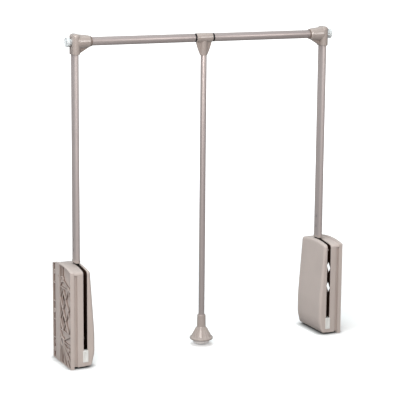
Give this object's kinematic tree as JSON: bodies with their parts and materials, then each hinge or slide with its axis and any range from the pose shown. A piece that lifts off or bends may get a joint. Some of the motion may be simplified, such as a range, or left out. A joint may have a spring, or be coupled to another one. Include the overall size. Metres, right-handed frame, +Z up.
{
  "type": "pull-down wardrobe rod",
  "caption": "Pull-down wardrobe rod: ribbed spring housings for the side walls, upright oval arms, a telescopic hanging rod and a pull handle with a bell-shaped grip.",
  "frame": {"origin": "on the floor line, midway between the two wall faces and between the housings' front and back", "axes": "+X to the right-hand wall, +Y to the back of the wardrobe, +Z up"},
  "size_m": [0.8, 0.13, 0.8505],
  "materials": {
    "housing_plastic": "fine-grained warm grey moulding",
    "fitting_plastic": "satin warm grey moulding",
    "tube_paint": "champagne powder coat",
    "steel": "zinc plated",
    "spring_black": "black paint",
    "black_plastic": "black",
    "soft_stop": "pale grey soft plastic",
    "clear_plastic": "clear"
  },
  "bodies": {
    "left_housing": {"left_base_shell": "housing_plastic", "left_cover_shell": "housing_plastic", "left_stop_bumper": "soft_stop", "left_pivot_axle": "steel", "left_housing_screws": "steel", "left_spring_cylinder": "spring_black", "left_anchor_pin": "steel"},
    "left_frame": {"left_lever": "steel", "left_hub_bushes": "black_plastic", "left_crank_pin": "steel", "left_arm_foot": "fitting_plastic", "left_arm_tube": "tube_paint", "left_arm_rivets": "steel", "left_elbow": "fitting_plastic", "left_side_bumper": "clear_plastic", "left_rod_ring": "black_plastic", "left_rod_tube": "tube_paint", "left_rod_bush": "black_plastic"},
    "left_spring": {"left_spring_rod": "steel"},
    "right_housing": {"right_base_shell": "housing_plastic", "right_cover_shell": "housing_plastic", "right_stop_bumper": "soft_stop", "right_pivot_axle": "steel", "right_housing_screws": "steel", "right_spring_cylinder": "spring_black", "right_anchor_pin": "steel"},
    "right_frame": {"right_lever": "steel", "right_hub_bushes": "black_plastic", "right_crank_pin": "steel", "right_arm_foot": "fitting_plastic", "right_arm_tube": "tube_paint", "right_arm_rivets": "steel", "right_elbow": "fitting_plastic", "right_side_bumper": "clear_plastic", "right_rod_ring": "black_plastic", "right_rod_tube": "tube_paint", "right_rod_bush": "black_plastic"},
    "right_spring": {"right_spring_rod": "steel"},
    "rod_core": {"inner_tube": "tube_paint", "tee_rings": "black_plastic"},
    "pull_handle": {"tee": "fitting_plastic", "tee_screw": "steel", "pull_rod": "tube_paint", "knob": "fitting_plastic", "knob_pad": "soft_stop"}
  },
  "joints": [
    {"name": "width_adjust", "type": "slide", "parent": "left_housing", "child": "right_housing", "axis": [1, 0, 0], "range_m": [0, 0.25]},
    {"name": "swing", "type": "hinge", "parent": "left_housing", "child": "left_frame", "pos_m": [0, 0, 0.059], "axis": [1, 0, 0], "range_deg": [0, 90], "stiffness_Nm_per_rad": 6, "springref_deg": -34.38},
    {"name": "swing_right", "type": "hinge", "parent": "right_housing", "child": "right_frame", "pos_m": [0, 0, 0.059], "axis": [1, 0, 0], "range_deg": [0, 90], "stiffness_Nm_per_rad": 6, "springref_deg": -34.38},
    {"name": "left_spring_stroke", "type": "slide", "parent": "left_housing", "child": "left_spring", "axis": [0, 0, 1], "range_m": [0, 0.037]},
    {"name": "right_spring_stroke", "type": "slide", "parent": "right_housing", "child": "right_spring", "axis": [0, 0, 1], "range_m": [0, 0.037]},
    {"name": "core_slide", "type": "slide", "parent": "left_frame", "child": "rod_core", "axis": [1, 0, 0], "range_m": [0, 0.125]},
    {"name": "handle_swivel", "type": "hinge", "parent": "rod_core", "child": "pull_handle", "pos_m": [0, 0, 0.83], "axis": [1, 0, 0], "continuous": true}
  ],
  "couplings": [
    {"joint": "swing_right", "follows": "swing", "ratio": 1},
    {"joint": "left_spring_stroke", "follows": "swing", "m_per_rad": 0.023408},
    {"joint": "right_spring_stroke", "follows": "swing", "m_per_rad": 0.023408},
    {"joint": "core_slide", "follows": "width_adjust", "ratio": 0.5}
  ]
}
